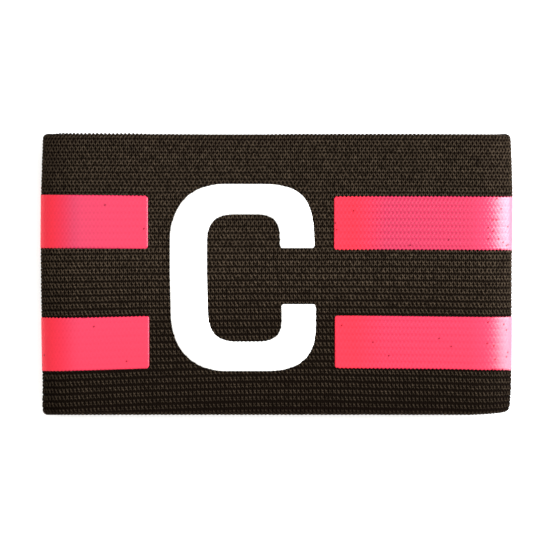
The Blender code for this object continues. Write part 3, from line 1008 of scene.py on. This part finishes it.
def film_places(near, far, fray):
    """Flat places (s, y) all over a film between two edges, in rows across it, and how far each
    lies from the film's border, which is round at the tips. Where the knit dents, the long edges
    draw back, fray times as far as the dent is deep."""
    number = np.linspace(0.0, 1.0, len(near))
    middle_line = (near + far) / 2
    length = np.hypot(*np.diff(middle_line, axis=0).T).sum()
    width = np.hypot(*(far - near).T).mean()
    near_height = (near[:, 1] - wander(near[:, 0], near[:, 1])).mean() + WIDTH / 2
    lengthwise = film_lines(length, STITCH_PITCH / LINES_PER_STITCH, -near[0, 0] % STITCH_PITCH)
    crosswise = film_lines(width, RIB_PITCH / LINES_PER_RIB, -near_height % RIB_PITCH)
    run = np.concatenate([[0.0], np.cumsum(np.hypot(*np.diff(middle_line, axis=0).T))])
    at = np.interp(lengthwise, run, number)
    low = np.stack([np.interp(at, number, near[:, k]) for k in (0, 1)], axis=1)
    high = np.stack([np.interp(at, number, far[:, k]) for k in (0, 1)], axis=1)
    to_end = np.minimum(lengthwise, length - lengthwise)
    across = high - low
    spans = np.hypot(*across.T)[:, None]
    across = across / spans
    into_tip = np.maximum(0.0, TIP_RADIUS - to_end)
    pinch = TIP_RADIUS - np.sqrt(np.maximum(0.0, TIP_RADIUS**2 - into_tip**2))
    low, spans = low + across * pinch[:, None], spans - 2 * pinch[:, None]
    share = crosswise / width
    flat = low[:, None] + across[:, None] * (spans * share)[:, :, None]
    to_side = spans * np.minimum(share, 1 - share)
    edge = np.minimum(to_side, to_end[:, None])
    line = (flat[:, :, 1] - wander(flat[:, :, 0], flat[:, :, 1]) + WIDTH / 2) / RIB_PITCH * 2
    fade = np.clip(edge / STEP_FADE, 0.0, 1.0)
    flat[:, :, 0] += STITCH_PITCH * stitch_shift(line, flat[:, :, 0]) * fade
    ragged = (EDGE_SPREAD - fray * dents(flat[:, :, 0], flat[:, :, 1])) * MM
    outward = np.where(share < 0.5, -1.0, 1.0) * np.exp(-to_side / RAGGED_REACH) * ragged
    flat = flat + across[:, None] * outward[:, :, None]
    return flat[:, :, 0], flat[:, :, 1], edge


_, _, from_border = film_places(*prints["bar_left_upper"], 0.0)
print("a bar's film:", from_border.shape[0], "by", from_border.shape[1], "places")


# %% Mark a film
# How thin a film is for each mm that it dents, and in the middle of a pinhole.
THIN_PER_DENT = 2.2
PINHOLE_THIN = 3.0


def film_marks(s, y, dent):
    """Where a film has its painted sheen, is thin and has its painted glare, as numbers that its
    material reads.
    """
    painted_sheen = table_at(PAINTED_SHEEN, s / MM) * table_at(PAINTED_SHEEN_ACROSS, y / WIDTH)
    thin = np.clip(dent * THIN_PER_DENT, 0.0, 1.0)
    at_right_fold = np.flatnonzero((s > FOLD_PINHOLE_SPAN[0]) & (s < FOLD_PINHOLE_SPAN[1]))
    spots = list(rng.integers(0, s.size, PINHOLES))
    if len(at_right_fold):
        spots += list(rng.choice(at_right_fold, FOLD_PINHOLES))
    for spot in spots:
        away = np.hypot(s - s.flat[spot], y - y.flat[spot]) / PINHOLE_RADIUS
        thin = np.maximum(thin, PINHOLE_THIN * np.exp(-away**2))
    return {"painted_sheen": painted_sheen, "thin": thin, "painted_glare": table_at(PAINTED_GLARE, s / MM)}


print("bloom in the middle of the right bars:", table_at(PAINTED_SHEEN, 40.0))


# %% Make a film
def make_film(name, near, far, material, fray):
    """A film between two edges, rounded all round, with the knit pressed through it. Its back
    has the same places as its top, and a rim of faces joins the two."""
    s, y, edge = film_places(near, far, fray)
    dent = table_at(PRESS, s / MM) * table_at(PRESS_ACROSS, y / WIDTH) * dents(s, y)
    crest = INK_TOP * (1 - FILM_PULL * stretched(s))
    round_off = np.sqrt(1 - (1 - np.clip(edge / INK_EDGE, 0.0, 1.0))**2)
    top = -INK_ROOT + (crest - dent * MM + INK_ROOT) * round_off
    back = np.full_like(top, -INK_BACK)
    points = np.concatenate([on_band(s, y, top).reshape(-1, 3), on_band(s, y, back).reshape(-1, 3)])
    faces = [grid_faces(*s.shape), grid_faces(*s.shape, first=s.size)[:, ::-1],
             rim_faces(*s.shape)]
    marks = {mark: np.stack([values, values]) for mark, values in film_marks(s, y, dent).items()}
    return make_piece(name, points, faces, material, marks)


# %% [markdown]
# ## The finish of the ink
# White plastisol cures matt, like chalk. The pink one is glossier and carries a painted sheen,
# the milky pink of a reflection, least at the left fold and at the inner ends, which turns its
# red towards pink and comes with more shine, and a pale painted glare at the right fold.
# Where it is thin, over the holes and in pinholes, the black yarn shows through and nothing
# shines. All of this varies over the film, so it comes from the marks on its points.

# %% White and pink plastisol
# The specular level of ink without and with its painted sheen, and how far the yarn shows through a
# thin film.
SHINE_FRESH, SHINE_WITH_SHEEN = 0.12, 0.56
YARN_THROUGH = 0.4
SCREEN_GRAIN_MM = 0.22


def plastisol(name, fresh, sheen_colour, glare_colour, thin, roughness):
    """Soft vinyl ink under a dull to glossy skin with the grain of the screen. Its colour carries
    a painted sheen, milky and glossier, and a pale painted glare at the right fold, and it is
    darker where it is thin over the black yarn."""
    material, tree, shader = start_material(name)
    place = add_node(tree, "ShaderNodeTexCoord")
    grain = add_node(tree, "ShaderNodeTexNoise", Vector=place.outputs["Object"],
                     Scale=1 / (SCREEN_GRAIN_MM * MM), Detail=2.0)
    bump = add_node(tree, "ShaderNodeBump", Strength=0.12, Distance=0.03 * MM,
                    Height=grain.outputs["Fac"])
    # Painted sheen: the milky pink of a reflection, which also raises the specular level.
    painted_sheen = add_node(tree, "ShaderNodeAttribute", {"attribute_name": "painted_sheen"})
    skin = add_node(tree, "ShaderNodeMix", {"data_type": "RGBA"}, i0=painted_sheen.outputs["Fac"],
                    i6=linear(fresh), i7=linear(sheen_colour))
    # Painted glare: a pale pink mixed in at the tip of the right fold.
    painted_glare = add_node(tree, "ShaderNodeAttribute", {"attribute_name": "painted_glare"})
    at_right_fold = add_node(tree, "ShaderNodeMix", {"data_type": "RGBA"}, i0=painted_glare.outputs["Fac"],
                        i6=skin.outputs[2], i7=linear(glare_colour))
    worn = add_node(tree, "ShaderNodeAttribute", {"attribute_name": "thin"})
    share = add_node(tree, "ShaderNodeMath", {"operation": "MULTIPLY", "use_clamp": True},
                     i0=worn.outputs["Fac"], i1=YARN_THROUGH)
    colour = add_node(tree, "ShaderNodeMix", {"data_type": "RGBA"}, i0=share.outputs[0],
                      i6=at_right_fold.outputs[2], i7=linear(thin))
    gloss = add_node(tree, "ShaderNodeMapRange", Value=painted_sheen.outputs["Fac"],
                     To_Min=SHINE_FRESH, To_Max=SHINE_WITH_SHEEN)
    shine = add_node(tree, "ShaderNodeMix", {"data_type": "FLOAT"}, i0=share.outputs[0],
                     i2=gloss.outputs[0], i3=0.0)
    tree.links.new(bump.outputs[0], shader.inputs["Normal"])
    tree.links.new(colour.outputs[2], shader.inputs["Base Color"])
    tree.links.new(shine.outputs[0], shader.inputs["Specular IOR Level"])
    shader.inputs["Roughness"].default_value = roughness
    shader.inputs["IOR"].default_value = 1.5
    return material


white_ink = plastisol("matt_white_plastisol_ink", "#efeeea", "#efeeea", "#efeeea", "#c9c5bd", 0.55)
pink_ink = plastisol("glossy_pink_plastisol_ink", "#e93043", "#c21a49", "#f0cfdd", "#5c0a12", 0.35)
print("made", white_ink.name, "and", pink_ink.name)

# %% Print the letter and the bars
# How ragged their edges are: the bars' ink was thinner and drew back further into the dents.
LETTER_FRAY, BAR_FRAY = 0.8, 1.9
for name, (near, far) in prints.items():
    ink, fray = (white_ink, LETTER_FRAY) if name == "letter_c" else (pink_ink, BAR_FRAY)
    film = make_film(name + "_ink", near, far, ink, fray)
    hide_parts(name)

# %% [markdown]
# It lies on the floor, its underside at the floor's height, with its yarn and thread on it.

# %% [markdown]
# ## The camera
# It looks straight down from far away through a long lens, so the folds aren't shrunk by
# perspective. Its distance follows from the width of the picture, 147 mm at the band's height.

# %% Camera
PHOTO_WIDTH = 147.4 * MM
PHOTO_CENTRE = (-0.19 * MM, -0.37 * MM)
LENS_MM = 400.0
SENSOR_MM = 36.0
camera_data = bpy.data.cameras.new("camera")
camera_data.lens = LENS_MM
camera_data.sensor_width = SENSOR_MM
camera_data.clip_end = 10.0
camera = bpy.data.objects.new("camera", camera_data)
camera.location = (*PHOTO_CENTRE, HALF_HEIGHT + PHOTO_WIDTH * LENS_MM / SENSOR_MM)
scene = bpy.context.scene
scene.collection.objects.link(camera)
scene.camera = camera
scene.view_settings.view_transform = "Standard"
print("camera height in mm:", round(camera.location.z / MM))

# %% [markdown]
# ## The floor
# The band lies on a light table of matt opal acrylic, lit weakly from below, as small goods do
# when they have to stand out against pure white. It has no clear reflections, and it stays white
# right up to the band, with only a thin shadow under the folds.

# %% Floor
FLOOR_GRAIN_MM = 0.6
table, table_tree, table_shader = start_material("matt_opal_acrylic_light_table")
table_shader.inputs["Base Color"].default_value = linear("#f6f6f5")
table_shader.inputs["Roughness"].default_value = 0.9
table_shader.inputs["Emission Color"].default_value = linear("#ffffff")
table_shader.inputs["Emission Strength"].default_value = 0.4
table_grain = add_node(table_tree, "ShaderNodeTexNoise", Detail=2.0,
                       Scale=1 / (FLOOR_GRAIN_MM * MM))
table_bump = add_node(table_tree, "ShaderNodeBump", Strength=0.2, Distance=0.02 * MM,
                      Height=table_grain.outputs["Fac"])
table_tree.links.new(table_bump.outputs[0], table_shader.inputs["Normal"])
floor_mesh = bpy.data.meshes.new("floor")
floor_mesh.from_pydata([(-1, -1, 0), (1, -1, 0), (1, 1, 0), (-1, 1, 0)], [], [(0, 1, 2, 3)])
floor_mesh.materials.append(table)
floor = bpy.data.objects.new("floor", floor_mesh)
scene.collection.objects.link(floor)
print("floor:", table.name)


# %% [markdown]
# ## The light
# A softbox low on the right makes the glare on the right fold, as a window would. A larger one
# overhead and the pale room even out the rest, so that the knit is lit from all sides and only
# its holes stay dark. Area lights do this without any picture of a room.

# %% Light
def softbox(name, place, size, power, colour="#ffffff"):
    """A flat area light that faces the band."""
    data = bpy.data.lights.new(name, "AREA")
    data.shape = "RECTANGLE"
    data.size, data.size_y = size
    data.energy = power
    data.color = linear(colour)[:3]
    light = bpy.data.objects.new(name, data)
    light.location = place
    light.rotation_mode = "QUATERNION"
    light.rotation_quaternion = (-light.location).to_track_quat("-Z", "Y")
    scene.collection.objects.link(light)
    print(name, "at", place, "with", power, "W")


softbox("window", (0.88, 0.19, 0.38), (0.40, 0.95), 26.5, "#f4f8ff")
softbox("overhead_softbox", (0.0, 0.15, 2.2), (1.8, 1.8), 10.0)
world = bpy.data.worlds.new("studio")
world.use_nodes = True
world.node_tree.nodes["Background"].inputs["Color"].default_value = linear("#fffdfa")
world.node_tree.nodes["Background"].inputs["Strength"].default_value = 0.85
scene.world = world
